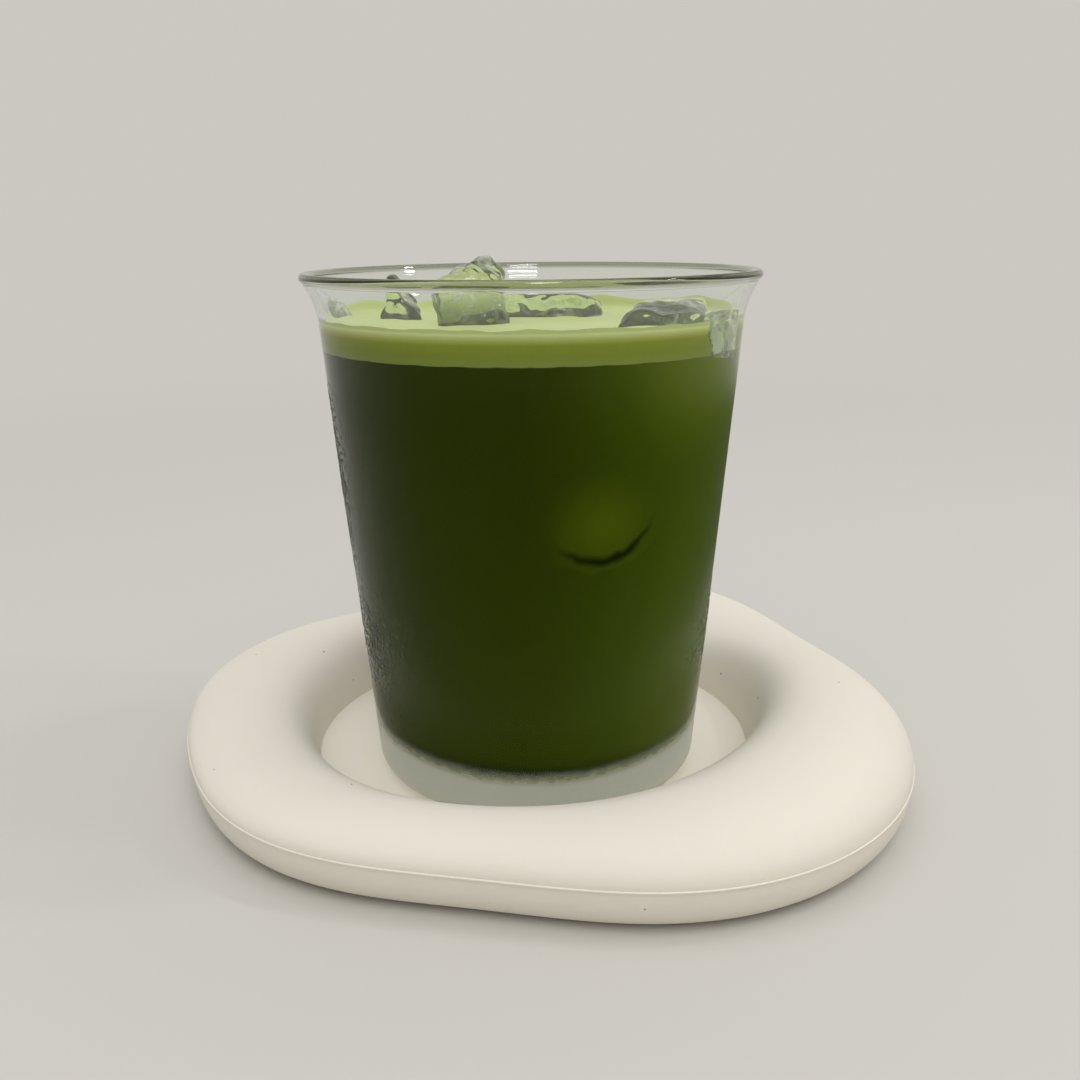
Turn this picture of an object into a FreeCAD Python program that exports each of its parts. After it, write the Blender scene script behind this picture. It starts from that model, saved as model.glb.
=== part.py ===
"""Iced matcha in a flared tumbler, standing in the well of a puffy three-lobed silicone coaster.

The origin is on the tumbler's axis at the table: +Z is up and -Y is the front.
Each section makes one piece or a group of like pieces, and the last one writes the STEP files.
"""

import FreeCAD
import Part

import os
from math import acos, atan2, cos, hypot, pi, radians, sin, sqrt, tan

Vector = FreeCAD.Vector

# Driving dimensions in mm, angles in degrees.

# Tumbler: pressed glass with a straight tapered body, a flared mouth and a fire-polished lip.
GLASS_HEIGHT = 101.0
MOUTH_RADIUS = 44.0          # outside of the lip
FOOT_RADIUS = 33.2           # outside of the body, carried down to the plane of the foot
MOUTH_FLARE = 2.5            # how much wider the flare leaves the mouth than the taper alone would
FLARE_RADIUS = 17.0          # bend of the outside, below the mouth
WALL = 1.6
LIP_SWELL = 0.2              # how much thicker than the wall the polished lip is
BASE_THICKNESS = 7.0
FOOT_CORNER = 4.0
BOWL_CORNER = 7.5

# Drink: a dark body and the lighter froth on it.
HEADSPACE = 8.4              # from the froth up to the mouth
FROTH_THICKNESS = 5.5

# Coaster: one moulded ring of varying width round a flat well, which the tumbler stands in.
WELL_OFFSET = (-0.6, 6.3)    # from the tumbler's axis to the middle of the well
WELL_ROOM = 7.3              # from the tumbler's foot to the nearest edge of the well
FLOOR_THICKNESS = 4.9
RING_WIDTH = 30.1            # mean
CREST_HEIGHT = 17.7          # mean
SEAM_HEIGHT = 9.4            # parting line of the mould, on the outside
UNDERCUT = 10.7              # how far the underside draws in to the flat that it stands on
FLASH_REACH = 0.25           # thin fin left along the parting line
FLASH_HEIGHT = 0.5

# Waves round the coaster: how many in a turn, reach in mm, direction of one peak.
WIDTH_WAVES = ((1, 8.3, 56.4), (2, 1.6, 38.8), (3, 6.7, -50.7), (4, 4.0, -23.4), (5, 2.2, 4.8))
CREST_WAVES = ((1, 1.4, -23.2), (2, 2.5, -26.6), (3, 0.7, -3.0))

# Section of the ring, as shares of its width and height.
WELL_DRAFT = 0.03            # how much of the width the well's wall takes up near its foot
INNER_SHOULDER = 0.12        # where the crest begins, from the edge of the well
OUTER_SHOULDER = 0.30        # where the crest ends, from the outside
WELL_STEEPNESS = 0.57        # how much of the well's wall stays steep
SIDE_FULLNESS = 0.55         # how much of the outside stays upright
UNDERSIDE_FULLNESS = 0.90    # how much of the side under the seam stays upright
UNDERSIDE_ROUND = 0.45       # how much of the undercut the round of the underside takes up
SECTIONS = 36                # sections that each skin is drawn through

# Ice: chipped blocks that float in the drink and stand out of the froth.
# Middle (x and y as shares of the bowl's radius at the froth, z from the froth), radius of the
# melted edges, and for each face the way that it looks and its distance from the middle.
ICE = {
    "ice_peak": ((-0.30, -0.33, -2.6), 2.2, (
        (190, 61, 10.6), (0, 6, 7.7), (-80, 12, 7.2), (80, 40, 12.0),
        (185, -3, 5.2), (95, -5, 8.0), (-38, 25, 8.4), (30, -80, 10.0),
    )),
    "ice_left": ((-0.66, 0.08, -5.2), 0.8, (
        (180, 12, 4.4), (-15, 41, 8.2), (5, -3, 3.6), (-95, 15, 8.0),
        (85, 30, 6.5), (175, -25, 4.6), (60, -80, 9.0),
    )),
    "ice_side": ((-0.97, 0.03, -3.0), 0.6, (
        (150, 60, 7.0), (-10, 35, 2.4), (-95, 10, 5.5), (85, 5, 6.0),
        (180, 0, 9.0), (0, -20, 2.0), (0, -80, 6.5),
    )),
    "ice_back": ((0.08, 0.22, -3.5), 2.0, (
        (60, 84, 8.0), (178, 8, 11.0), (-5, 14, 11.5), (-92, 12, 9.5),
        (88, 10, 9.0), (-45, 25, 12.5), (100, -83, 8.0),
    )),
    "ice_slab": ((0.60, -0.49, -4.1), 1.0, (
        (-90, 85, 7.4), (-57, 8, 9.3), (-10, 6, 7.2), (172, 35, 8.0),
        (85, 12, 11.0), (-120, 20, 11.0), (200, -82, 9.0),
    )),
    "ice_wall": ((0.76, -0.49, -4.0), 0.8, (
        (147, 65, 4.2), (-33, 0, 12.0), (57, 8, 6.8), (-123, 8, 5.4),
        (147, -6, 3.2), (-60, -75, 3.0),
    )),
}
ICE_SPAN = 60.0              # more than any block reaches from its middle


# Tumbler: one profile in the XZ plane, turned round the axis.

def towards(angle, length=1.0):
    return Vector(length * cos(angle), 0, length * sin(angle))


def line(start, end):
    return Part.makeLine(start, end)


def arc(centre, radius, first, last):
    middle = (first + last) / 2
    points = [centre + towards(angle, radius) for angle in (first, middle, last)]
    return Part.Arc(*points).toShape()


def turned(edges):
    """The solid of a closed profile turned round the Z axis."""
    profile = Part.Face(Part.Wire(Part.__sortEdges__(edges)))
    return profile.revolve(Vector(), Vector(0, 0, 1), 360)


lip_radius = (WALL + LIP_SWELL) / 2
lip_centre = Vector(MOUTH_RADIUS - lip_radius, 0, GLASS_HEIGHT - lip_radius)
foot_edge = Vector(FOOT_RADIUS, 0, 0)
lean = atan2(MOUTH_RADIUS - MOUTH_FLARE - FOOT_RADIUS, lip_centre.z)
upward = towards(pi / 2 - lean)
outward = towards(-lean)


def corner_centre(inset, radius, floor):
    """Centre of an arc that touches a level floor and the body's face at this inset."""
    reach = inset + radius
    rise = (floor + radius - reach * sin(lean)) / cos(lean)
    return foot_edge - outward * reach + upward * rise


# The flare's centre is off the body's face, and the middle of its wall ends in the lip.
flare_middle = FLARE_RADIUS + WALL / 2
start = foot_edge + outward * FLARE_RADIUS - lip_centre
along = start.dot(upward)
flare_centre = lip_centre + start + upward * (
    -along - sqrt(along ** 2 - start.dot(start) + flare_middle ** 2)
)
to_lip = atan2(lip_centre.z - flare_centre.z, lip_centre.x - flare_centre.x)


def flare_end(radius):
    """Direction from the flare's centre to where an arc of this radius meets the lip."""
    share = (radius ** 2 + flare_middle ** 2 - lip_radius ** 2) / (2 * radius * flare_middle)
    return to_lip + acos(share)


def flare(radius):
    return arc(flare_centre, radius, pi - lean, flare_end(radius))


inner_flare = FLARE_RADIUS + WALL
outer_lip = flare_centre + towards(flare_end(FLARE_RADIUS), FLARE_RADIUS)
inner_lip = flare_centre + towards(flare_end(inner_flare), inner_flare)
lip_top = lip_centre + towards(to_lip - pi / 2, lip_radius)

foot_centre = corner_centre(0, FOOT_CORNER, 0)
bowl_centre = corner_centre(WALL, BOWL_CORNER, BASE_THICKNESS)
outer_side = [
    line(Vector(), Vector(foot_centre.x, 0, 0)),
    arc(foot_centre, FOOT_CORNER, -pi / 2, -lean),
    line(foot_centre + outward * FOOT_CORNER, flare_centre - outward * FLARE_RADIUS),
    flare(FLARE_RADIUS),
    Part.Arc(outer_lip, lip_top, inner_lip).toShape(),
]
bowl_floor = Vector(0, 0, BASE_THICKNESS)
bowl_side = [
    line(bowl_floor, Vector(bowl_centre.x, 0, BASE_THICKNESS)),
    arc(bowl_centre, BOWL_CORNER, -pi / 2, -lean),
    line(bowl_centre + outward * BOWL_CORNER, flare_centre - outward * inner_flare),
    flare(inner_flare),
]
glass = turned(outer_side + bowl_side + [line(bowl_floor, Vector())])

bowl_rim = Vector(0, 0, inner_lip.z)
bowl = turned(bowl_side + [line(inner_lip, bowl_rim), line(bowl_rim, bowl_floor)])


# Ice: blocks cut by their flat faces, with melted edges. Where one meets the bowl or an earlier
# block it is worn to it.

froth_level = GLASS_HEIGHT - HEADSPACE
drink_level = froth_level - FROTH_THICKNESS
froth_radius = FOOT_RADIUS - WALL + froth_level * tan(lean)
room = bowl.fuse(Part.makeCylinder(inner_lip.x, ICE_SPAN, bowl_rim))


def ice_block(middle, melt, faces):
    place = Vector(middle[0] * froth_radius, middle[1] * froth_radius, froth_level + middle[2])
    block = Part.makeSphere(ICE_SPAN, place)
    for azimuth, elevation, distance in faces:
        level = cos(radians(elevation))
        out = Vector(
            level * cos(radians(azimuth)), level * sin(radians(azimuth)), sin(radians(elevation))
        )
        beyond = Part.makeCylinder(2 * ICE_SPAN, 2 * ICE_SPAN, place + out * distance, out)
        block = block.cut(beyond)
    return block.makeFillet(melt, block.Edges)


ice = {}
for name, form in ICE.items():
    block = ice_block(*form).common(room)
    for earlier in ice.values():
        block = block.cut(earlier)
    ice[name] = block


# Drink and froth: the bowl's filling in two layers, cut round the ice.

def filling(bottom, top):
    layer = bowl.common(Part.makeCylinder(MOUTH_RADIUS, top - bottom, Vector(0, 0, bottom)))
    for block in ice.values():
        layer = layer.cut(block)
    return layer


drink = filling(0, drink_level)
froth = filling(drink_level, froth_level)


# Coaster: skins drawn through like sections round the well, closed by a flat floor and foot.

well_radius = FOOT_RADIUS + hypot(*WELL_OFFSET) + WELL_ROOM


def waves(terms, angle):
    return sum(reach * cos(count * (angle - radians(peak))) for count, reach, peak in terms)


def skin(rows, knots):
    """A skin round the well through rows of (share of ring width, inset, share of crest, height)."""
    step = 2 * pi / SECTIONS
    swell = 3 / (2 + cos(step))
    poles = []
    for section in range(SECTIONS):
        angle = section * step
        width = RING_WIDTH + waves(WIDTH_WAVES, angle)
        crest = CREST_HEIGHT + waves(CREST_WAVES, angle)
        column = []
        for share, inset, crest_share, height in rows:
            radius = (well_radius + share * width - inset) * swell
            column.append(Vector(
                WELL_OFFSET[0] + radius * cos(angle),
                WELL_OFFSET[1] + radius * sin(angle),
                height + crest_share * (crest - height),
            ))
        poles.append(column)
    turns = list(range(SECTIONS + 1))
    degree = min(3, len(rows) - 1)
    ends = [degree + 1] + [2] * (len(knots) - 2) + [degree + 1]
    surface = Part.BSplineSurface()
    surface.buildFromPolesMultsKnots(
        poles, [1] * len(turns), ends, turns, knots, True, False, 3, degree
    )
    return surface


def flat(surface, edge):
    """The level face inside one edge of a skin."""
    return Part.Face(Part.Wire(surface.vIso(edge).toShape()))


above_seam = (1, 0, 0, SEAM_HEIGHT + FLASH_HEIGHT / 2)
seam = (1, -FLASH_REACH, 0, SEAM_HEIGHT)
below_seam = (1, 0, 0, SEAM_HEIGHT - FLASH_HEIGHT / 2)
top_skin = skin((
    (0, 0, 0, FLOOR_THICKNESS),
    (WELL_DRAFT, 0, WELL_STEEPNESS, FLOOR_THICKNESS),
    (INNER_SHOULDER, 0, 1, 0),
    (1 - OUTER_SHOULDER, 0, 1, 0),
    (1, 0, SIDE_FULLNESS, SEAM_HEIGHT),
    above_seam,
), [0, 0.5, 1])
under_skin = skin((
    below_seam,
    (1, 0, 0, (1 - UNDERSIDE_FULLNESS) * SEAM_HEIGHT),
    (1, UNDERSIDE_ROUND * UNDERCUT, 0, 0),
    (1, UNDERCUT, 0, 0),
), [0, 1])
fin = [skin((above_seam, seam), [0, 1]), skin((seam, below_seam), [0, 1])]
faces = [surface.toShape() for surface in (top_skin, *fin, under_skin)]
faces += [flat(top_skin, 0), flat(under_skin, 1)]
shell = Part.makeShell(faces)
shell.sewShape()
coaster = Part.makeSolid(shell)


# Nodes.

on_floor = Vector(0, 0, FLOOR_THICKNESS)
nodes = {"glass": glass, "drink": drink, "froth": froth, **ice}
nodes = {name: shape.translated(on_floor) for name, shape in nodes.items()}
nodes["coaster"] = coaster

os.makedirs("parts", exist_ok=True)
for name, shape in nodes.items():
    shape.exportStep(f"parts/{name}.step")
    print(name, len(shape.Solids), shape.isValid(), round(shape.Volume, 1), shape.BoundBox)
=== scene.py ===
from math import acos, atan2, cos, pi, radians, sin, sqrt, tan

import bmesh
import bpy
import numpy as np
from mathutils import Matrix, Vector, noise


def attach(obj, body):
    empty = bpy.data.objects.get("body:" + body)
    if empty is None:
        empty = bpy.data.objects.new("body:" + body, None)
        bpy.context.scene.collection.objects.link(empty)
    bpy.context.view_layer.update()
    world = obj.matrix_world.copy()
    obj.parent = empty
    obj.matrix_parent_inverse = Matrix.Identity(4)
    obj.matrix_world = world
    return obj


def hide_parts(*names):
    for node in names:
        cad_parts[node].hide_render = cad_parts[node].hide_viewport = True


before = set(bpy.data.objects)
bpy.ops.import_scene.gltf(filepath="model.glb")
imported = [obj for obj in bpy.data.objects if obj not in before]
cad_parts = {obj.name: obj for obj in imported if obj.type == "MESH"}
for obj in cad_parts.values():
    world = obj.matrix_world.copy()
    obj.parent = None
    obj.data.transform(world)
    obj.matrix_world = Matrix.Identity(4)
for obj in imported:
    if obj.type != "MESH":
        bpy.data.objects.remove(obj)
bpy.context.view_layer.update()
MM = 0.001

# ---------------------------------------------------------------------------------------------
# Coaster. One moulded ring of soft silicone, thick and thin round a flat well, with the thin
# fin that the mould leaves along its parting line. It stands on its own flat underside.

WELL_MIDDLE = (-0.6, 6.3)
WELL_RADIUS = 46.83
FLOOR = 4.9
RING_WIDTH = 30.1
CREST = 17.7
SEAM = 9.4
UNDERCUT = 10.7
FIN = 0.25
INNER_PULLS = (0.03, 0.57, 0.12)    # the well's side: out and up as shares, then the shoulder
OUTER_PULLS = (0.3, 0.55)           # the outer shoulder in from the side, and the side's own pull
UNDER_PULLS = (0.1, 0.45)           # the lower side's pull down, and its share of the undercut
SECTION_STEP = 10
TURNS = 288
TOP_POINTS = 34
UNDER_POINTS = 18
WIDTH_WAVES = ((1, 8.3, 56.4), (2, 1.6, 38.8), (3, 6.7, -50.7), (4, 4.0, -23.4), (5, 2.2, 4.8))
CREST_WAVES = ((1, 1.4, -23.2), (2, 2.5, -26.6), (3, 0.7, -3.0))
SILICONE = "#EDE7DA"
SILICONE_SHADE = "#E5DED0"
DUST = "#9A8F80"


def linear(hex_colour):
    """An sRGB hex colour as Blender's linear red, green, blue and alpha."""
    parts = [int(hex_colour[i:i + 2], 16) / 255 for i in (1, 3, 5)]
    return [p / 12.92 if p <= 0.04045 else ((p + 0.055) / 1.055) ** 2.4 for p in parts] + [1.0]


def add(tree, kind, settings=(), **links):
    """A node with its settings, and its inputs linked to sockets or set to values."""
    made = tree.nodes.new(kind)
    for name, value in dict(settings).items():
        setattr(made, name, value)
    for name, value in links.items():
        key = int(name[1:]) if name[0] == "_" else name.replace("_", " ")
        if isinstance(value, bpy.types.NodeSocket):
            tree.links.new(value, made.inputs[key])
        else:
            made.inputs[key].default_value = value
    return made


def new_material(name):
    """A named material with its shader and the place that its patterns are measured in."""
    material = bpy.data.materials.new(name)
    material.use_nodes = True
    tree = material.node_tree
    shader = tree.nodes["Principled BSDF"]
    return material, tree, shader, add(tree, "ShaderNodeTexCoord").outputs["Object"]


def mesh_piece(name, points, faces, material, sharp=40):
    """A piece of the object from points in millimetres, smooth but for its sharp edges."""
    mesh = bpy.data.meshes.new(name)
    mesh.from_pydata([tuple(p) for p in np.asarray(points) * MM], [], faces)
    mesh.materials.append(material)
    mesh.shade_smooth()
    mesh.set_sharp_from_angle(angle=radians(sharp))
    piece = bpy.data.objects.new(name, mesh)
    bpy.context.collection.objects.link(piece)
    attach(piece, "root")
    return piece


def bezier(a, b, c, d, count):
    """Points along the curve from a to d that b and c pull on."""
    t = np.linspace(0, 1, count)[:, None]
    a, b, c, d = (np.asarray(p, float) for p in (a, b, c, d))
    return a * (1 - t) ** 3 + 3 * b * t * (1 - t) ** 2 + 3 * c * t * t * (1 - t) + d * t ** 3


def waves(terms, angle):
    """Waves round the ring, each a little flatter the shorter it is, as a skin over sections is."""
    step = radians(SECTION_STEP)
    return sum(
        (2 + cos(count * step)) / (2 + cos(step)) * reach * cos(count * (angle - radians(peak)))
        for count, reach, peak in terms
    )


def ring_section(angle):
    """The ring's section at one angle, from the well's edge over the crest to the underside."""
    width = RING_WIDTH + waves(WIDTH_WAVES, angle)
    crest = CREST + waves(CREST_WAVES, angle)
    inner, outer = WELL_RADIUS, WELL_RADIUS + width
    out, up, shoulder = INNER_PULLS
    inside = (inner, FLOOR), (inner + out * width, FLOOR + up * (crest - FLOOR))
    shoulders = (inner + shoulder * width, crest), (outer - OUTER_PULLS[0] * width, crest)
    middle = ((shoulders[0][0] + shoulders[1][0]) / 2, crest)
    side = (outer, SEAM + OUTER_PULLS[1] * (crest - SEAM)), (outer, SEAM + FIN)
    fin = [(outer + FIN * x, SEAM + FIN * z) for x, z in ((0.8, 0.6), (1, 0), (0.8, -0.6))]
    lower = (outer, SEAM - FIN), (outer, UNDER_PULLS[0] * SEAM)
    foot = (outer - UNDER_PULLS[1] * UNDERCUT, 0), (outer - UNDERCUT, 0)
    return np.concatenate([
        bezier(*inside, shoulders[0], middle, TOP_POINTS)[:-1],
        bezier(middle, shoulders[1], *side, TOP_POINTS),
        fin,
        bezier(*lower, *foot, UNDER_POINTS),
    ])


def revolved_faces(rows, columns, first_cap=False, last_cap=False):
    """Faces of a skin whose points run section by section round the axis."""
    faces = []
    for i in range(columns):
        j = (i + 1) % columns
        for k in range(rows - 1):
            faces.append((i * rows + k, j * rows + k, j * rows + k + 1, i * rows + k + 1))
    if first_cap:
        faces.append([i * rows for i in reversed(range(columns))])
    if last_cap:
        faces.append([i * rows + rows - 1 for i in range(columns)])
    return faces


sections = [ring_section(2 * pi * i / TURNS) for i in range(TURNS)]
points = []
for i, section in enumerate(sections):
    x, y = cos(2 * pi * i / TURNS), sin(2 * pi * i / TURNS)
    points += [(WELL_MIDDLE[0] + r * x, WELL_MIDDLE[1] + r * y, z) for r, z in section]

# Platinum-cured silicone, moulded against a blasted tool: matt, a little translucent, with fine
# specks of dust that cling to it.
silicone, tree, shader, place = new_material("silicone_matt")
cloud = add(tree, "ShaderNodeTexNoise", Vector=place, Scale=18.0, Detail=3.0)
tone = add(tree, "ShaderNodeMix", {"data_type": "RGBA"}, Factor=cloud.outputs["Fac"],
           _6=linear(SILICONE), _7=linear(SILICONE_SHADE))
specks = add(tree, "ShaderNodeTexVoronoi", {"feature": "F1"}, Vector=place, Scale=130.0)
chosen = add(tree, "ShaderNodeMath", {"operation": "LESS_THAN"}, _0=specks.outputs["Distance"], _1=0.035)
dusted = add(tree, "ShaderNodeMix", {"data_type": "RGBA"}, Factor=chosen.outputs[0],
             _6=tone.outputs[2], _7=linear(DUST))
tree.links.new(dusted.outputs[2], shader.inputs["Base Color"])
grain = add(tree, "ShaderNodeTexNoise", Vector=place, Scale=2600.0, Detail=2.0)
bump = add(tree, "ShaderNodeBump", Strength=0.12, Distance=0.0001, Height=grain.outputs["Fac"])
tree.links.new(bump.outputs["Normal"], shader.inputs["Normal"])
shader.inputs["Roughness"].default_value = 0.62
shader.inputs["IOR"].default_value = 1.41
shader.inputs["Subsurface Weight"].default_value = 0.12
shader.inputs["Subsurface Radius"].default_value = (0.004, 0.003, 0.002)
shader.inputs["Subsurface Scale"].default_value = 1.0

faces = revolved_faces(len(sections[0]), TURNS, first_cap=True, last_cap=True)
coaster = mesh_piece("coaster_moulded", points, faces, silicone)
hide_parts("coaster")


# ---------------------------------------------------------------------------------------------
# Tumbler. Pressed soda-lime glass with a heavy base, a straight tapered wall, a flared mouth and
# a fire-polished lip. It is cold, so its outside is fogged up to the froth and clear above it.

GLASS_HEIGHT = 101.0
MOUTH_RADIUS = 44.0
MOUTH_FLARE = 2.5
FOOT_RADIUS = 33.2
FLARE_RADIUS = 17.0
WALL = 1.6
LIP_RADIUS = 0.9
BASE = 7.0
FOOT_CORNER = 4.0
BOWL_CORNER = 7.5
GLASS_TURNS = 256
WALL_POINTS = 24
GLASS_TINT = "#F6FAF6"
GLASS_IOR = 1.52
LIP_TINT_AND_SHADE = "#B0B4A4"
LIP_DEPTHS = (1.5, 1.0)             # below the mouth, where the lip's darker tint begins and is full

foot_edge = Vector((FOOT_RADIUS, 0))
lip_middle = Vector((MOUTH_RADIUS - LIP_RADIUS, GLASS_HEIGHT - LIP_RADIUS))
LEAN = atan2(MOUTH_RADIUS - MOUTH_FLARE - FOOT_RADIUS, lip_middle.y)
upward = Vector((sin(LEAN), cos(LEAN)))
outward = Vector((cos(LEAN), -sin(LEAN)))
flare_middle = FLARE_RADIUS + WALL / 2

# The flare's centre: where its middle line leaves the leaning wall and meets the lip's middle.
start = foot_edge + outward * FLARE_RADIUS - lip_middle
along = start.dot(upward)
flare_centre = lip_middle + start - upward * (
    along + sqrt(along ** 2 - start.length_squared + flare_middle ** 2)
)
to_lip = atan2(lip_middle.y - flare_centre.y, lip_middle.x - flare_centre.x)


def arc(centre, radius, first, last, count):
    """Points along an arc of the profile."""
    return [
        (centre.x + radius * cos(a), centre.y + radius * sin(a))
        for a in np.linspace(first, last, count)
    ]


def corner(inset, radius, floor, count):
    """The rounded corner between a level floor and the body's face at this inset."""
    reach = inset + radius
    rise = (floor + radius - reach * sin(LEAN)) / cos(LEAN)
    centre = foot_edge - outward * reach + upward * rise
    return arc(centre, radius, -pi / 2, -LEAN, count)


def flare(radius, count):
    """One face of the flared mouth, from the straight wall up to the lip."""
    share = (radius ** 2 + flare_middle ** 2 - LIP_RADIUS ** 2) / (2 * radius * flare_middle)
    return arc(flare_centre, radius, pi - LEAN, to_lip + acos(share), count)


def between(a, b, count):
    """Points on the straight line between two points, without its ends."""
    return [tuple(p) for p in np.linspace(a, b, count)[1:-1]]


def turned(profile, columns, lift=FLOOR):
    """Points of a profile turned round the axis, set down on the coaster."""
    return [
        (r * cos(2 * pi * i / columns), r * sin(2 * pi * i / columns), z + lift)
        for i in range(columns) for r, z in profile
    ]


def bowl_radius(height):
    """The radius of the bowl's straight wall at a height above the foot."""
    return FOOT_RADIUS - WALL / cos(LEAN) + height * tan(LEAN)


outer_flare, inner_flare = flare(FLARE_RADIUS, 16), flare(FLARE_RADIUS + WALL, 16)
foot_corner, bowl_corner = corner(0, FOOT_CORNER, 0, 12), corner(WALL, BOWL_CORNER, BASE, 16)
last, first = Vector(outer_flare[-1]) - lip_middle, Vector(inner_flare[-1]) - lip_middle
lip = arc(lip_middle, LIP_RADIUS, atan2(last.y, last.x), atan2(first.y, first.x), 18)[1:-1]
glass_profile = (
    foot_corner + between(foot_corner[-1], outer_flare[0], WALL_POINTS) + outer_flare + lip
    + inner_flare[::-1] + between(inner_flare[0], bowl_corner[-1], WALL_POINTS) + bowl_corner[::-1]
)


def fill(ramp, *stops):
    """Set a ramp's colours: the first stop is at 0 and the last at 1."""
    for spot, colour in stops[1:-1]:
        ramp.elements.new(spot).color = linear(colour)
    ramp.elements[0].color, ramp.elements[-1].color = linear(stops[0][1]), linear(stops[-1][1])


def clear_material(name, tint, ior, mirror):
    """A clear material that lamps shine through, with a share of its mirror-like reflection."""
    material, tree, shader, place = new_material(name)
    shader.inputs["Base Color"].default_value = linear(tint)
    shader.inputs["IOR"].default_value = ior
    shader.inputs["Roughness"].default_value = 0.0
    shader.inputs["Transmission Weight"].default_value = 1.0
    shader.inputs["Specular Tint"].default_value = (mirror, mirror, mirror, 1.0)
    passes = add(tree, "ShaderNodeMixShader",
                 Fac=add(tree, "ShaderNodeLightPath").outputs["Is Shadow Ray"])
    tree.links.new(shader.outputs[0], passes.inputs[1])
    tree.links.new(add(tree, "ShaderNodeBsdfTransparent").outputs[0], passes.inputs[2])
    tree.links.new(passes.outputs[0], tree.nodes["Material Output"].inputs["Surface"])
    return material, tree, shader, place


# Soda-lime glass: clear, with a faint green-grey in its thick edges. Its lip is tinted darker:
# partly the glass's own tint, partly painted shade for the dark band that the lip's refraction makes.
# Lamps shine through it, so what is in it and behind it is lit as by daylight.
clear_glass, tree, shader, place = clear_material("soda_lime_glass_clear", GLASS_TINT, GLASS_IOR, 1.0)
height = add(tree, "ShaderNodeSeparateXYZ", Vector=place).outputs["Z"]
in_lip = add(tree, "ShaderNodeMapRange", {"interpolation_type": "SMOOTHSTEP"}, Value=height,
             From_Min=(FLOOR + GLASS_HEIGHT - LIP_DEPTHS[0]) * MM,
             From_Max=(FLOOR + GLASS_HEIGHT - LIP_DEPTHS[1]) * MM)
# Partly painted shade: the lip's darker tint stands in for the dark band its refraction makes.
thick = add(tree, "ShaderNodeMix", {"data_type": "RGBA"}, Factor=in_lip.outputs[0],
            _6=linear(GLASS_TINT), _7=linear(LIP_TINT_AND_SHADE))
tree.links.new(thick.outputs[2], shader.inputs["Base Color"])

# The same glass where it is fogged: fine water drops blur what is behind it and take away its
# shine. Round the thick base they make it milky, up to an edge that is higher at the sides; the
# milky colour is partly frost and partly painted light for the light the base gathers from below.
FOG_EDGE = (93.0, 80.0)             # heights at which the fog begins and is full
FROST_EDGE = (17.6, 13.4)           # heights at which the milky zone begins and is full
FROST_CURVE = -1.8                  # how much the edge follows the square of the way sideways
FROST_GRAIN = 1.2
REFLECTION_CUT_ACROSS = (-34.0, 20.0)         # where the painted cut of the reflection is least, and where it is most
DEWY_UP = (16.5, 58.0)

fogged_glass, tree, shader, place = clear_material("soda_lime_glass_fogged", GLASS_TINT, GLASS_IOR, 0.12)
axes = add(tree, "ShaderNodeSeparateXYZ", Vector=place).outputs
patches = add(tree, "ShaderNodeTexNoise", Vector=place, Scale=45.0, Detail=3.0)
fine = add(tree, "ShaderNodeTexNoise", Vector=place, Scale=600.0, Detail=3.0)
squared = add(tree, "ShaderNodeMath", {"operation": "MULTIPLY"}, _0=axes["X"], _1=axes["X"])
lowered = add(tree, "ShaderNodeMath", {"operation": "MULTIPLY_ADD"}, _0=squared.outputs[0],
              _1=FROST_CURVE, _2=axes["Z"])
ragged = add(tree, "ShaderNodeMath", {"operation": "MULTIPLY_ADD"}, _0=fine.outputs["Fac"],
             _1=FROST_GRAIN * MM, _2=lowered.outputs[0])
fog = add(tree, "ShaderNodeMapRange", {"interpolation_type": "SMOOTHSTEP"}, Value=axes["Z"],
          From_Min=FOG_EDGE[0] * MM, From_Max=FOG_EDGE[1] * MM)
frost = add(tree, "ShaderNodeMapRange", {"interpolation_type": "SMOOTHSTEP"}, Value=ragged.outputs[0],
            From_Min=FROST_EDGE[0] * MM, From_Max=FROST_EDGE[1] * MM)
blur = add(tree, "ShaderNodeMapRange", Value=patches.outputs["Fac"], From_Min=0.3, From_Max=0.7,
           To_Min=0.07, To_Max=0.15)
fogged = add(tree, "ShaderNodeMath", {"operation": "MULTIPLY"}, _0=fog.outputs[0], _1=blur.outputs[0])
rough = add(tree, "ShaderNodeMath", {"operation": "MULTIPLY_ADD"}, _0=frost.outputs[0], _1=0.25,
            _2=fogged.outputs[0])
tree.links.new(rough.outputs[0], shader.inputs["Roughness"])
# Partly painted light: the milky colour of the frosted base is not all frost.
milk_and_painted_glow = add(tree, "ShaderNodeValToRGB", Fac=frost.outputs[0])
fill(milk_and_painted_glow.color_ramp, (0.0, GLASS_TINT), (0.45, "#D0D9AC"), (1.0, "#DCDFD2"))
tree.links.new(milk_and_painted_glow.outputs["Color"], shader.inputs["Base Color"])
clear = add(tree, "ShaderNodeMapRange", Value=frost.outputs[0], To_Min=1.0, To_Max=0.25)
tree.links.new(clear.outputs[0], shader.inputs["Transmission Weight"])
drops = add(tree, "ShaderNodeTexVoronoi", {"feature": "SMOOTH_F1"}, Vector=place, Scale=1400.0)
drop_height = add(tree, "ShaderNodeMath", {"operation": "MULTIPLY"}, _0=fog.outputs[0], _1=0.3)
drop_bump = add(tree, "ShaderNodeBump", Strength=drop_height.outputs[0], Distance=0.0001,
                Height=drops.outputs["Distance"])
tree.links.new(drop_bump.outputs["Normal"], shader.inputs["Normal"])
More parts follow.
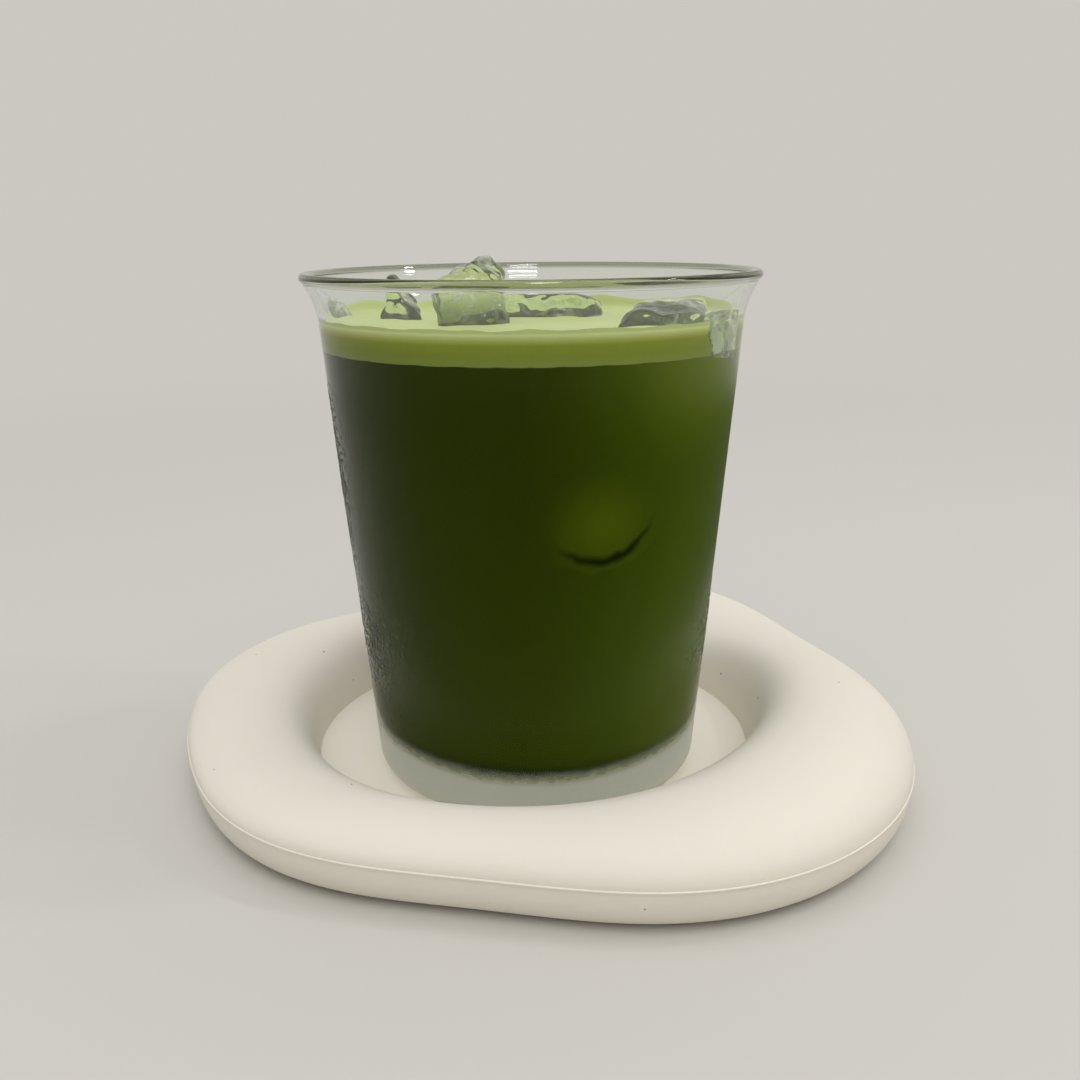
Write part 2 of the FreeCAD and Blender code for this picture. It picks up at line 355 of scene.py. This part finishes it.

# Dew breaks up the mirror-like reflection, and more is cut on the right as painted shade: the light goes
# straight in.
straight = add(tree, "ShaderNodeBsdfRefraction", Color=linear(GLASS_TINT), IOR=GLASS_IOR,
               Roughness=fogged.outputs[0], Normal=drop_bump.outputs["Normal"])
# Painted shade: the share grows towards the right, set by position, to darken the haze there.
reflection_cut = add(tree, "ShaderNodeMapRange", {"interpolation_type": "SMOOTHSTEP"}, Value=axes["X"],
           From_Min=REFLECTION_CUT_ACROSS[0] * MM, From_Max=REFLECTION_CUT_ACROSS[1] * MM, To_Min=0.2, To_Max=0.88)
above_base = add(tree, "ShaderNodeMapRange", {"interpolation_type": "SMOOTHSTEP"}, Value=axes["Z"],
                 From_Min=DEWY_UP[0] * MM, From_Max=DEWY_UP[1] * MM)
wet = add(tree, "ShaderNodeMath", {"operation": "MULTIPLY"}, _0=fog.outputs[0], _1=above_base.outputs[0])
share = add(tree, "ShaderNodeMath", {"operation": "MULTIPLY"}, _0=wet.outputs[0], _1=reflection_cut.outputs[0])
broken = add(tree, "ShaderNodeMixShader", Fac=share.outputs[0])
onward = shader.outputs[0].links[0].to_socket
tree.links.new(shader.outputs[0], broken.inputs[1])
tree.links.new(straight.outputs[0], broken.inputs[2])
tree.links.new(broken.outputs[0], onward)

points = turned(glass_profile, GLASS_TURNS)
faces = revolved_faces(len(glass_profile), GLASS_TURNS, first_cap=True, last_cap=True)
tumbler = mesh_piece("tumbler_pressed", points, faces, clear_glass, sharp=50)

# The foot's corner, the outside of the straight wall and the underside are fogged.
tumbler.data.materials.append(fogged_glass)
rows = len(glass_profile) - 1
fogged_rows = len(foot_corner) + WALL_POINTS - 2
underside = GLASS_TURNS * rows
for number, face in enumerate(tumbler.data.polygons):
    outside = number < underside and number % rows < fogged_rows
    face.material_index = 1 if outside or number == underside else 0
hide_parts("glass")


# ---------------------------------------------------------------------------------------------
# Ice. Chipped blocks of clear ice that float in the drink, wet and rounded by melting, with
# shallow ripples and cloudy veins. Two of them are worn flat against the bowl.

ICE_GRID = 0.45
ICE_NODES = ("ice_peak", "ice_left", "ice_side", "ice_back", "ice_slab", "ice_wall")
WORN_NODES = ("ice_side", "ice_wall")
ICE_TINT = "#E9F0DC"
ICE_PAINTED_SHADE = "#98A088"
RIPPLES = ((0.19, 1.0), (0.5, 0.5))     # waves to a millimetre, and height
INTO_WALL = 0.15
WORN_WITHIN = 0.7                       # what is nearer the bowl than this is worn flat on it
HELD_WITHIN = 1.2                       # and a block that isn't worn is held off it from here on
HELD_SLOPE = 0.3
PEAK_MIDDLE = (-10.5, -13.3, 95.0)


def from_mesh(name, mesh):
    """A mesh as a new object, which is not yet a piece of the part."""
    made = bpy.data.objects.new(name, mesh)
    bpy.context.collection.objects.link(made)
    return made


def applied(piece):
    """The piece's mesh with its modifiers applied, and the modifiers gone."""
    bpy.context.view_layer.update()
    mesh = bpy.data.meshes.new_from_object(piece.evaluated_get(bpy.context.evaluated_depsgraph_get()))
    piece.modifiers.clear()
    old, piece.data = piece.data, mesh
    bpy.data.meshes.remove(old)
    return mesh


def melted(name, source, ripple, seed, worn):
    """A block with an even skin, softened edges and melt ripples, worn to the bowl or held off it."""
    block = from_mesh(name, source.copy())
    weld = block.modifiers.new("weld", "WELD")
    weld.merge_threshold = 0.00001
    skin = block.modifiers.new("skin", "REMESH")
    skin.mode, skin.voxel_size = "VOXEL", ICE_GRID * MM
    soften = block.modifiers.new("soften", "SMOOTH")
    soften.factor, soften.iterations = 0.5, 6
    mesh = applied(block)
    shift = Vector((seed * 7.3, seed * 3.1, seed * 5.7))
    top = max(vertex.co.z for vertex in source.vertices)
    moved = []
    for vertex in mesh.vertices:
        spot = vertex.co / MM
        wave = sum(noise.noise(spot * each + shift) * rise for each, rise in RIPPLES)
        moved.append(vertex.co + vertex.normal * wave * ripple * MM)
    for vertex, spot in zip(mesh.vertices, moved):
        reach, limit = spot.xy.length, bowl_radius(spot.z / MM - FLOOR) * MM
        past = reach - limit + HELD_WITHIN * MM
        if worn and reach > limit - WORN_WITHIN * MM:
            spot.xy *= (limit + 2 * INTO_WALL * MM) / reach
        elif past > 0:
            spot.xy *= (limit - HELD_WITHIN * MM + HELD_SLOPE * past) / reach
        spot.z = min(spot.z, top)
        vertex.co = spot
    mesh.shade_smooth()
    return block


# Clear ice with a thin film of melt water: sharp but rippled reflections, cloudy along its veins,
# and with painted shade low in the tall block: a darker tint that stands in for shade there.
clear_ice, tree, shader, place = clear_material("ice_clear_wet", ICE_TINT, 1.31, 1.0)
veins = add(tree, "ShaderNodeTexNoise", Vector=place, Scale=190.0, Detail=4.0, Distortion=1.2)
clear = add(tree, "ShaderNodeMapRange", {"interpolation_type": "SMOOTHSTEP"}, Value=veins.outputs["Fac"],
            From_Min=0.5, From_Max=0.68, To_Min=0.95, To_Max=0.62)
tree.links.new(clear.outputs[0], shader.inputs["Transmission Weight"])
height = add(tree, "ShaderNodeSeparateXYZ", Vector=place).outputs["Z"]
away = add(tree, "ShaderNodeVectorMath", {"operation": "DISTANCE"}, _0=place,
           _1=[value * MM for value in PEAK_MIDDLE])
# Painted shade: the tint darkens near the tall block's middle and low down.
beside = add(tree, "ShaderNodeMapRange", Value=away.outputs["Value"], From_Min=0.0115, From_Max=0.014)
higher = add(tree, "ShaderNodeMapRange", {"interpolation_type": "SMOOTHSTEP"}, Value=height,
             From_Min=0.0985, From_Max=0.1045)
paler = add(tree, "ShaderNodeMath", {"operation": "MAXIMUM"}, _0=beside.outputs[0], _1=higher.outputs[0])
tint = add(tree, "ShaderNodeMix", {"data_type": "RGBA"}, Factor=paler.outputs[0],
           _6=linear(ICE_PAINTED_SHADE), _7=linear(ICE_TINT))
tree.links.new(tint.outputs[2], shader.inputs["Base Color"])
ripples = add(tree, "ShaderNodeTexNoise", Vector=place, Scale=420.0, Detail=2.0)
ripple_bump = add(tree, "ShaderNodeBump", Strength=0.45, Distance=0.0003, Height=ripples.outputs["Fac"])
tree.links.new(ripple_bump.outputs["Normal"], shader.inputs["Normal"])

blocks = []
for number, node in enumerate(ICE_NODES):
    worn = node in WORN_NODES
    block = melted(f"{node}_melted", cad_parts[node].data, 0.5 if worn else 1.0, number + 1, worn)
    block.data.materials.clear()
    block.data.materials.append(clear_ice)
    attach(block, "root")
    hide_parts(node)
    blocks.append(block)


# ---------------------------------------------------------------------------------------------
# Froth and drink. Whisked matcha powder in iced water: an opaque dark body under a layer of
# fine pale foam, both held by the bowl and wetting its wall.

FROTH_TOP = GLASS_HEIGHT - 8.4
DRINK_TOP = FROTH_TOP - 5.5
MENISCUS = 0.5
MENISCUS_REACH = 1.6
CLING = 5.0                         # how many times higher foam clings to the wall at the back
SWELLS = ((0.16, 1.7, 0.35), (0.6, 4.1, 0.12))      # waves to a millimetre, seed and height
FROTH_UNDER = DRINK_TOP - 0.1
LIQUID_TURNS = 192
CUT_GAP = 0.05


def cut_round_ice(piece, lining):
    """The piece with a hollow for each block, a little smaller than it so that no gap is left."""
    for block in blocks:
        cutter = from_mesh("cutter", block.data.copy())
        cutter.data.materials.clear()
        cutter.data.materials.append(lining)
        smaller = [v.co - v.normal * CUT_GAP * MM for v in cutter.data.vertices]
        for vertex, spot in zip(cutter.data.vertices, smaller):
            vertex.co = spot
        cut = piece.modifiers.new("cut", "BOOLEAN")
        cut.object, cut.operation, cut.solver = cutter, "DIFFERENCE", "EXACT"
        cut.material_mode = "TRANSFER"
        applied(piece)
        mesh = cutter.data
        bpy.data.objects.remove(cutter)
        bpy.data.meshes.remove(mesh)
    piece.data.set_sharp_from_angle(angle=radians(40))


def disc_solid(rings, columns, lift=FLOOR):
    """Points and faces of a closed turned solid, from the middle of its top round to its bottom."""
    turns = [(cos(2 * pi * i / columns), sin(2 * pi * i / columns)) for i in range(columns)]
    points = [(0, 0, rings[0][1] + lift)]
    points += [(r * x, r * y, z + lift) for r, z in rings[1:-1] for x, y in turns]
    points.append((0, 0, rings[-1][1] + lift))
    faces, count = [], len(rings) - 2
    for i in range(columns):
        j = (i + 1) % columns
        faces.append((0, 1 + i, 1 + j))
        for k in range(count - 1):
            a, b = 1 + k * columns, 1 + (k + 1) * columns
            faces.append((a + i, b + i, b + j, a + j))
        a = 1 + (count - 1) * columns
        faces.append((a + i, len(points) - 1, a + j))
    return points, faces


def matcha_green_painted_light(tree, place):
    """The drink's green: dark, a little lighter lower down, and painted light on the right and higher
    up.
    """
    flow = add(tree, "ShaderNodeTexNoise", Vector=place, Scale=14.0, Detail=2.0)
    axes = add(tree, "ShaderNodeSeparateXYZ", Vector=place).outputs
    # Painted light: the green is lighter on the right and higher up, where daylight would reach it.
    side = add(tree, "ShaderNodeMapRange", {"interpolation_type": "SMOOTHSTEP"}, Value=axes["X"],
               From_Min=-0.004, From_Max=0.034)
    upper = add(tree, "ShaderNodeMapRange", {"interpolation_type": "SMOOTHSTEP"}, Value=axes["Z"],
                From_Min=0.070, From_Max=0.092, To_Min=0.55, To_Max=1.0)
    lit = add(tree, "ShaderNodeMath", {"operation": "MULTIPLY"}, _0=side.outputs[0], _1=upper.outputs[0])
    lower = add(tree, "ShaderNodeMapRange", Value=axes["Z"], From_Min=0.088, From_Max=0.020,
                To_Min=-0.05, To_Max=0.16)
    level = add(tree, "ShaderNodeMath", {"operation": "ADD"}, _0=lit.outputs[0], _1=lower.outputs[0])
    mixed = add(tree, "ShaderNodeMath", {"operation": "MULTIPLY_ADD"}, _0=flow.outputs["Fac"], _1=0.15,
                _2=level.outputs[0])
    shades = add(tree, "ShaderNodeValToRGB", Fac=mixed.outputs[0])
    fill(shades.color_ramp, (0.0, "#2E3904"), (0.12, "#343F06"), (0.5, "#44530C"), (1.0, "#65751A"))
    return shades.outputs["Color"]


# Whisked matcha: opaque with fine powder, dark green, without a shine of its own in the glass.
matcha, tree, shader, place = new_material("matcha_drink")
tree.links.new(matcha_green_painted_light(tree, place), shader.inputs["Base Color"])
shader.inputs["Roughness"].default_value = 0.5
shader.inputs["IOR"].default_value = 1.34
shader.inputs["Specular IOR Level"].default_value = 0.0

# Melt water stained by the drink, which lines the hollows that the ice floats in: dark below, and
# paler near the top, with a painted glow of light round the block at the right wall.
melt_water, tree, shader, place = new_material("matcha_melt_water")
stain = add(tree, "ShaderNodeTexNoise", Vector=place, Scale=230.0, Detail=2.0)
axes = add(tree, "ShaderNodeSeparateXYZ", Vector=place).outputs
level = add(tree, "ShaderNodeMath", {"operation": "MULTIPLY_ADD"}, _0=stain.outputs["Fac"], _1=0.009,
            _2=axes["Z"])
share = add(tree, "ShaderNodeMapRange", {"interpolation_type": "SMOOTHSTEP"}, Value=level.outputs[0],
            From_Min=(DRINK_TOP + FLOOR + 2.5) * MM, From_Max=(FROTH_TOP + FLOOR + 5.5) * MM)
shades = add(tree, "ShaderNodeMix", {"data_type": "RGBA"}, Factor=share.outputs[0],
             _6=linear("#323C14"), _7=linear("#7C8850"))
# Painted light: a near-white glow round the block at the right wall.
rightward = add(tree, "ShaderNodeMapRange", Value=axes["X"], From_Min=0.028, From_Max=0.033)
painted_glow_at_wall = add(tree, "ShaderNodeMix", {"data_type": "RGBA"}, Factor=rightward.outputs[0],
             _6=shades.outputs[2], _7=linear("#C6CAB2"))
tree.links.new(painted_glow_at_wall.outputs[2], shader.inputs["Base Color"])
shader.inputs["Roughness"].default_value = 0.4

# Foam of fine bubbles: satin, pale yellow-green and faintly swirled on top, darker at its side
# where it drains, with a painted pale line of light just under the top edge.
foam, tree, shader, place = new_material("matcha_foam")
height = add(tree, "ShaderNodeSeparateXYZ", Vector=place).outputs["Z"]
layer = add(tree, "ShaderNodeMapRange", Value=height, From_Min=(DRINK_TOP + FLOOR) * MM,
            From_Max=(FROTH_TOP + FLOOR) * MM)
shades = add(tree, "ShaderNodeValToRGB", Fac=layer.outputs[0])
# Painted light: the pale stop near the top is a line of light just under the froth's edge.
fill(shades.color_ramp, (0.0, "#828E40"), (0.3, "#7C8A2A"), (0.62, "#858F2C"), (0.8, "#AAB45C"),
     (0.94, "#CDD794"), (1.0, "#BAC67C"))
bubbles = add(tree, "ShaderNodeTexVoronoi", {"feature": "F1"}, Vector=place, Scale=2200.0)
bubble_bump = add(tree, "ShaderNodeBump", Strength=0.15, Distance=0.0001,
                  Height=bubbles.outputs["Distance"])
tree.links.new(bubble_bump.outputs["Normal"], shader.inputs["Normal"])
normal = add(tree, "ShaderNodeNewGeometry").outputs["Normal"]
facing = add(tree, "ShaderNodeSeparateXYZ", Vector=normal).outputs["Z"]
level_part = add(tree, "ShaderNodeMapRange", Value=facing, From_Min=0.35, From_Max=0.75)
swirl = add(tree, "ShaderNodeTexNoise", Vector=place, Scale=70.0, Detail=4.0)
surface = add(tree, "ShaderNodeMix", {"data_type": "RGBA"}, Factor=swirl.outputs["Fac"],
              _6=linear("#B8C27C"), _7=linear("#CCD494"))
covered = add(tree, "ShaderNodeMix", {"data_type": "RGBA"}, Factor=level_part.outputs[0],
              _6=shades.outputs["Color"], _7=surface.outputs[2])
tree.links.new(covered.outputs[2], shader.inputs["Base Color"])
shader.inputs["Roughness"].default_value = 0.45
shader.inputs["IOR"].default_value = 1.33


def climbed(x, y, z):
    """A point of the froth's edge, carried up the wall at the back, where foam clings to it."""
    rise, reach = z - FLOOR - FROTH_TOP, sqrt(x * x + y * y)
    if rise < 0.001:
        return x, y, z
    at_back = max(0.0, min(1.0, 0.5 + 1.6 * y / reach))
    patchy = 0.8 + 0.5 * noise.noise(Vector((x * 0.09, y * 0.09, 8.0)))
    higher = rise * (1 + CLING * at_back * patchy)
    wider = 1 + (bowl_radius(FROTH_TOP + higher) - bowl_radius(FROTH_TOP + rise)) / reach
    return x * wider, y * wider, FLOOR + FROTH_TOP + higher


def swell(x, y):
    """The froth's low, uneven relief."""
    return sum(
        rise * noise.noise(Vector((x * each, y * each, seed))) for each, seed, rise in SWELLS
    )


top_edge = bowl_radius(FROTH_TOP)
rings = [(0, FROTH_TOP)] + [(r, FROTH_TOP) for r in np.linspace(2, top_edge - MENISCUS_REACH, 20)]
rings += [
    (top_edge - MENISCUS_REACH * (1 - t), FROTH_TOP + MENISCUS * t ** 3)
    for t in (0.25, 0.45, 0.6, 0.75, 0.85, 0.93)
]
rings += [(bowl_radius(FROTH_TOP + MENISCUS) + INTO_WALL, FROTH_TOP + MENISCUS)]
rings += [(bowl_radius(z) + INTO_WALL, z) for z in np.linspace(FROTH_TOP, FROTH_UNDER, 8)]
rings += [(bowl_radius(DRINK_TOP) * 0.5, FROTH_UNDER), (0, FROTH_UNDER)]
points, faces = disc_solid(rings, LIQUID_TURNS)
points = [climbed(*point) for point in points]
points = [
    (x, y, z + swell(x, y) if z > FROTH_TOP + FLOOR - 0.01 else z) for x, y, z in points
]
froth = mesh_piece("froth_layer", points, faces, foam)
cut_round_ice(froth, melt_water)
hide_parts("froth")

rings = [(0, DRINK_TOP), (bowl_radius(DRINK_TOP) * 0.6, DRINK_TOP)]
rings += [(bowl_radius(z) + INTO_WALL, z) for z in np.linspace(DRINK_TOP, bowl_corner[-1][1], 40)]
rings += [(r + INTO_WALL * (0.3 + z / 30), z - INTO_WALL * 0.7) for r, z in bowl_corner[-2::-1]]
rings += [(bowl_corner[0][0] * 0.5, BASE - INTO_WALL), (0, BASE - INTO_WALL)]
points, faces = disc_solid(rings, LIQUID_TURNS)
drink = mesh_piece("drink_body", points, faces, matcha)
cut_round_ice(drink, matcha)
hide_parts("drink")


# ---------------------------------------------------------------------------------------------
# Sunk ice. One block lies against the bowl below the froth. Only the face that is worn flat on
# the glass shows, as a paler patch in the drink with a dark edge of painted shade under it.

SUNK_AZIMUTH = 18.8                 # degrees from the front
SUNK_HEIGHT = 66.8
SUNK_DEPTH = 3.6                    # from the bowl's wall in to its middle
SUNK_HALF = (13.4, 6.0, 12.8)       # along the wall, into the drink, up
STIR = 1.6

azimuth = radians(SUNK_AZIMUTH)
sunk_radius = bowl_radius(SUNK_HEIGHT - FLOOR)
outward_3d = Vector((sin(azimuth), -cos(azimuth), 0))
along_3d = Vector((cos(azimuth), sin(azimuth), 0))
sunk_centre = outward_3d * (sunk_radius - SUNK_DEPTH) + Vector((0, 0, SUNK_HEIGHT))
body = bmesh.new()
bmesh.ops.create_icosphere(body, subdivisions=5, radius=1.0)
for vertex in body.verts:
    a, b, c = vertex.co
    spot = sunk_centre + along_3d * a * SUNK_HALF[0] + outward_3d * b * SUNK_HALF[1]
    spot += Vector((0, 0, c * SUNK_HALF[2]))
    spot += Vector((0, 0, noise.noise(spot * 0.25) * 1.2))
    reach, limit = spot.xy.length, bowl_radius(spot.z - FLOOR) + INTO_WALL + 0.03
    if reach > limit:
        spot.xy *= limit / reach
    vertex.co = spot * MM
mesh = bpy.data.meshes.new("ice_sunk")
body.to_mesh(mesh)
body.free()
mesh.shade_smooth()
mesh.set_sharp_from_angle(angle=radians(20))
sunk = from_mesh("ice_sunk", mesh)

# Ice under a film of the drink: the drink's own green, paler in the middle of the patch, partly the
# ice and partly painted light that it lets in, and a dark crescent of painted shade where its lower
# edge turns away from the glass.
sunk_ice, tree, shader, place = new_material("ice_under_matcha")
patch = outward_3d * sunk_radius + Vector((0, 0, SUNK_HEIGHT))
uneven = add(tree, "ShaderNodeTexNoise", Vector=place, Scale=420.0, Detail=3.0)
stirred = add(tree, "ShaderNodeVectorMath", {"operation": "MULTIPLY_ADD"}, _0=uneven.outputs["Color"],
              _1=(STIR * MM, STIR * MM, STIR * MM), _2=place)


def near(point, inner, outer):
    """How near the surface is to a point: 1 within the inner distance, 0 past the outer one."""
    stirred_point = point + Vector((STIR, STIR, STIR)) / 2
    away = add(tree, "ShaderNodeVectorMath", {"operation": "DISTANCE"}, _0=stirred.outputs[0],
               _1=stirred_point * MM)
    return add(tree, "ShaderNodeMapRange", {"interpolation_type": "SMOOTHSTEP"},
               Value=away.outputs["Value"], From_Min=outer * MM, From_Max=inner * MM).outputs[0]


# Partly painted light: the middle of the patch is paler.
pale = add(tree, "ShaderNodeMath", {"operation": "MULTIPLY"},
           _0=near(patch - Vector((0, 0, 3.0)), 0.0, 12.0), _1=0.44)
lighter = add(tree, "ShaderNodeMix", {"data_type": "RGBA"}, Factor=pale.outputs[0],
              _6=matcha_green_painted_light(tree, place), _7=linear("#66760F"))
# Painted shade: a dark crescent along the patch's lower edge.
edge_middle = patch + Vector((0, 0, 3.9)) - along_3d * 0.8
above_edge = add(tree, "ShaderNodeMath", {"operation": "SUBTRACT"}, _0=1.0,
                 _1=near(edge_middle, 11.6, 13.1))
crescent = add(tree, "ShaderNodeMath", {"operation": "MULTIPLY"}, _0=above_edge.outputs[0],
               _1=near(patch, 9.3, 10.7))
painted_shade = add(tree, "ShaderNodeMix", {"data_type": "RGBA"}, Factor=crescent.outputs[0],
             _6=lighter.outputs[2], _7=linear("#1A2206"))
tree.links.new(painted_shade.outputs[2], shader.inputs["Base Color"])
shader.inputs["Roughness"].default_value = 0.4
shader.inputs["Specular IOR Level"].default_value = 0.0
mesh.materials.append(sunk_ice)
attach(sunk, "root")


# ---------------------------------------------------------------------------------------------
# Condensation. Beads of water on the outside of the cold wall, from fine dew to larger beads in
# the middle of each wet patch.

DEW = 3800
DEW_HEIGHTS = (17, 86)
# Each wet patch: azimuth from the front, height, and half its reach in degrees and millimetres.
WET_PATCHES = ((-60, 37, 22, 12), (72, 36, 20, 10), (-76, 66, 14, 22))
BEAD_SIDES = 8
BEAD_RINGS = ((1.0, 0.0), (0.75, 0.42))     # a bead's rings: radius and height as shares
BEAD_TOP = 0.58
BEAD_LENGTH = 1.1
rng = np.random.default_rng(7)

# Water: clear and smooth, so that each bead glints and turns over what is behind it.
water, tree, shader, place = clear_material("water_beads", "#FFFFFF", 1.33, 1.0)
shader.inputs["Roughness"].default_value = 0.02
points, faces, count = [], [], 0
while count < DEW:
    angle, z = rng.uniform(0, 2 * pi), rng.uniform(*DEW_HEIGHTS)
    bearing = (angle * 180 / pi + 90 + 180) % 360 - 180
    thick = max(
        1.15 - sqrt((((bearing - at + 180) % 360 - 180) / wide) ** 2 + ((z - level) / tall) ** 2)
        for at, level, wide, tall in WET_PATCHES
    )
    uneven = 0.25 * noise.noise(Vector((cos(angle) * 9, sin(angle) * 9, z * 0.25)))
    if rng.uniform(-0.12, 1.0) > thick + uneven:
        continue
    size = 0.09 + (0.08 + 0.32 * max(0.0, thick)) * rng.power(0.5)
    radius = FOOT_RADIUS + (z - FLOOR) * tan(LEAN)
    out = Vector((cos(angle) * cos(LEAN), sin(angle) * cos(LEAN), -sin(LEAN)))
    side_way = Vector((-sin(angle), cos(angle), 0))
    up_way = out.cross(side_way)
    middle = Vector((radius * cos(angle), radius * sin(angle), z)) - out * size * 0.12
    lower, upper = len(points), len(points) + BEAD_SIDES
    for reach, rise in BEAD_RINGS:
        for k in range(BEAD_SIDES):
            turn = 2 * pi * k / BEAD_SIDES
            points.append(middle + side_way * cos(turn) * size * reach
                          + up_way * sin(turn) * size * reach * BEAD_LENGTH + out * size * rise)
    points.append(middle + out * size * BEAD_TOP)
    for k in range(BEAD_SIDES):
        n = (k + 1) % BEAD_SIDES
        faces.append((lower + k, lower + n, upper + n, upper + k))
        faces.append((upper + k, upper + n, upper + BEAD_SIDES))
    faces.append([lower + k for k in reversed(range(BEAD_SIDES))])
    count += 1
beads = mesh_piece("condensation_beads", points, faces, water, sharp=80)


# ---------------------------------------------------------------------------------------------
# Floor, light and camera. A floor of plain pale paper that fades into the studio, an overhead
# sky for soft light, and small lamps for the highlights on the lip.

PAPER = "#CBC8C1"
FLOOR_RINGS = (0.1, 0.2, 0.3, 0.5, 0.75, 1.5, 4.0)
FLOOR_TURNS = 64
FLOOR_DROP = 0.00005
FADE = (0.22, 0.75)
LAMP_AWAY = 1.3
BOWL_TOP = Vector((0, 0, 0.1))
STRIP_TILT = 66                     # degrees up from the front, for the highest strip lamp
STRIP_STEP = 7.5
STRIP_SIZE = (0.3, 0.03)
SIDE_WAYS = ((0.68, 0.06, 0.73), (0.83, -0.11, 0.55))
SIDE_SIZE = (0.12, 0.06)
SKY = (0.28, 1.28, 1.5)             # strength at the horizon, what is added overhead, and its curve

# Pale grey paper: matt near the object, and a plain glow far from it, where it meets the studio.
paper, tree, shader, place = new_material("pale_paper")
away = add(tree, "ShaderNodeVectorMath", {"operation": "LENGTH"}, _0=place)
far = add(tree, "ShaderNodeMapRange", {"interpolation_type": "SMOOTHSTEP"},
          Value=away.outputs["Value"], From_Min=FADE[0], From_Max=FADE[1])
shader.inputs["Base Color"].default_value = linear(PAPER)
shader.inputs["Roughness"].default_value = 0.9
shader.inputs["Specular IOR Level"].default_value = 0.1
glow = add(tree, "ShaderNodeEmission", Color=linear(PAPER), Strength=1.0)
blend = add(tree, "ShaderNodeMixShader", Fac=far.outputs[0])
tree.links.new(shader.outputs[0], blend.inputs[1])
tree.links.new(glow.outputs[0], blend.inputs[2])
tree.links.new(blend.outputs[0], tree.nodes["Material Output"].inputs["Surface"])
turns = [(cos(2 * pi * i / FLOOR_TURNS), sin(2 * pi * i / FLOOR_TURNS)) for i in range(FLOOR_TURNS)]
corners = [(0, 0, 0)] + [(r * x, r * y, -FLOOR_DROP) for r in FLOOR_RINGS for x, y in turns]
tiles = [(0, 1 + i, 1 + (i + 1) % FLOOR_TURNS) for i in range(FLOOR_TURNS)]
for k in range(len(FLOOR_RINGS) - 1):
    a, b = 1 + FLOOR_TURNS * k, 1 + FLOOR_TURNS * (k + 1)
    for i in range(FLOOR_TURNS):
        j = (i + 1) % FLOOR_TURNS
        tiles.append((a + i, b + i, b + j, a + j))
mesh = bpy.data.meshes.new("floor")
mesh.from_pydata(corners, [], tiles)
mesh.materials.append(paper)
floor = from_mesh("floor", mesh)

# The studio is seen as plain paper, and lights the object softly from above.
world = bpy.data.worlds.new("studio")
bpy.context.scene.world = world
world.use_nodes = True
tree = world.node_tree
seen = tree.nodes["Background"]
seen.inputs["Color"].default_value = linear(PAPER)
way = add(tree, "ShaderNodeSeparateXYZ", Vector=add(tree, "ShaderNodeTexCoord").outputs["Generated"])
overhead = add(tree, "ShaderNodeMapRange", Value=way.outputs["Z"])
curve = add(tree, "ShaderNodeMath", {"operation": "POWER"}, _0=overhead.outputs[0], _1=SKY[2])
strength = add(tree, "ShaderNodeMath", {"operation": "MULTIPLY_ADD"}, _0=curve.outputs[0],
               _1=SKY[1], _2=SKY[0])
light = add(tree, "ShaderNodeBackground", Strength=strength.outputs[0])
rays = add(tree, "ShaderNodeLightPath").outputs
first = add(tree, "ShaderNodeMath", {"operation": "MAXIMUM"}, _0=rays["Is Camera Ray"],
            _1=rays["Is Glossy Ray"])
direct = add(tree, "ShaderNodeMath", {"operation": "MAXIMUM"}, _0=first.outputs[0],
             _1=rays["Is Transmission Ray"])
both = add(tree, "ShaderNodeMixShader", Fac=direct.outputs[0])
tree.links.new(light.outputs[0], both.inputs[1])
tree.links.new(seen.outputs[0], both.inputs[2])
tree.links.new(both.outputs[0], tree.nodes["World Output"].inputs["Surface"])


def lamp(name, way, size, power):
    """A rectangular lamp in this direction from the bowl, aimed at it."""
    light = bpy.data.lights.new(name, "AREA")
    light.shape, light.size, light.size_y, light.energy = "RECTANGLE", size[0], size[1], power
    made = bpy.data.objects.new(name, light)
    made.location = BOWL_TOP + way * LAMP_AWAY
    made.rotation_euler = (-way).to_track_quat("-Z", "Y").to_euler()
    bpy.context.collection.objects.link(made)


# Five strip lamps in front, one above the other, and two at the right.
for number in range(5):
    tilt = radians(STRIP_TILT - STRIP_STEP * number)
    lamp(f"strip_{number + 1}", Vector((0.07, -cos(tilt), sin(tilt))), STRIP_SIZE, 0.88)
for number, way in enumerate(SIDE_WAYS):
    lamp(f"side_{number + 1}", Vector(way), SIDE_SIZE, 1.1)

# The camera looks down a little, and is held slightly out of level.
PITCH, ROLL = radians(16.2), radians(-0.58)
CAMERA_SPOT = (0.00121, -0.2145, 0.11385)
forward = Vector((0, cos(PITCH), -sin(PITCH)))
level_up, level_right = Vector((0, sin(PITCH), cos(PITCH))), Vector((1, 0, 0))
right = level_right * cos(ROLL) + level_up * sin(ROLL)
above = -level_right * sin(ROLL) + level_up * cos(ROLL)
camera = bpy.data.objects.new("camera", bpy.data.cameras.new("camera"))
camera.data.sensor_width, camera.data.lens = 36.0, 36.03
turned_to = Matrix((right, above, -forward)).transposed().to_4x4()
camera.matrix_world = Matrix.Translation(CAMERA_SPOT) @ turned_to
camera.data.clip_start = 0.01
bpy.context.collection.objects.link(camera)
bpy.context.scene.camera = camera
bpy.context.scene.view_settings.view_transform = "Standard"
